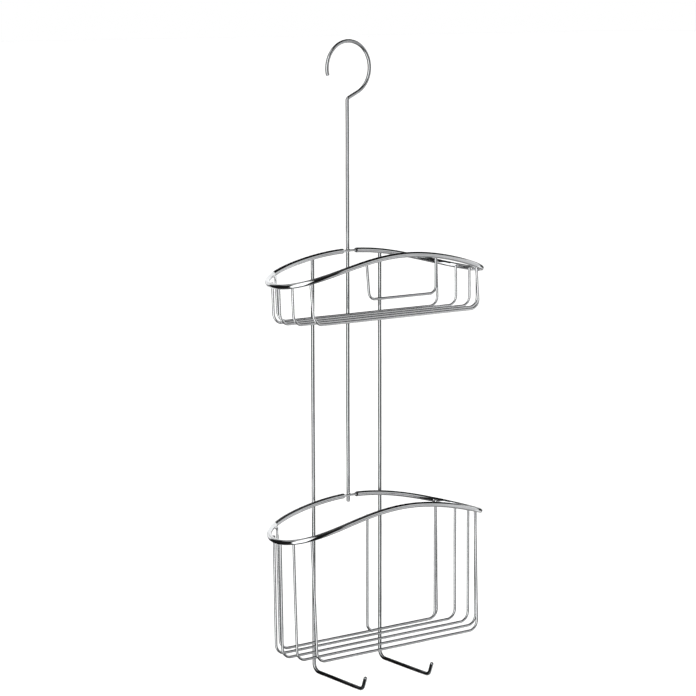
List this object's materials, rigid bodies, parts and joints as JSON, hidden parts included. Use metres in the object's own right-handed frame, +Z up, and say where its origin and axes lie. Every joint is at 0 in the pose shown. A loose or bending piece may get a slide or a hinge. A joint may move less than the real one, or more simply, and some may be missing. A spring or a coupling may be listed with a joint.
{
  "type": "shower caddy",
  "caption": "Hanging shower caddy of welded chrome wire: a round hook on a long stem carries a shallow and a deep oval basket, with open towel hooks beneath.",
  "frame": {"origin": "the seat of the top hook: the point on the inside of its crown that rests on the union or pipe it hangs from", "axes": "+Z up along the hanger wire, +X to the right along the wall as seen by the user, +Y into the wall; the baskets stand out towards -Y"},
  "size_m": [0.25, 0.0969, 0.6315],
  "materials": {
    "chrome": "polished"
  },
  "bodies": {
    "root": {"hanger_wire": "chrome", "left_rail": "chrome", "right_rail": "chrome", "upper_rim": "chrome", "lower_rim": "chrome", "upper_floor_wire_1": "chrome", "upper_floor_wire_2": "chrome", "upper_floor_wire_3": "chrome", "upper_floor_wire_4": "chrome", "upper_floor_wire_5": "chrome", "lower_floor_wire_1": "chrome", "lower_floor_wire_2": "chrome", "lower_floor_wire_3": "chrome", "lower_floor_wire_4": "chrome", "lower_floor_wire_5": "chrome", "upper_front_guard": "chrome", "lower_front_guard": "chrome"}
  },
  "joints": []
}
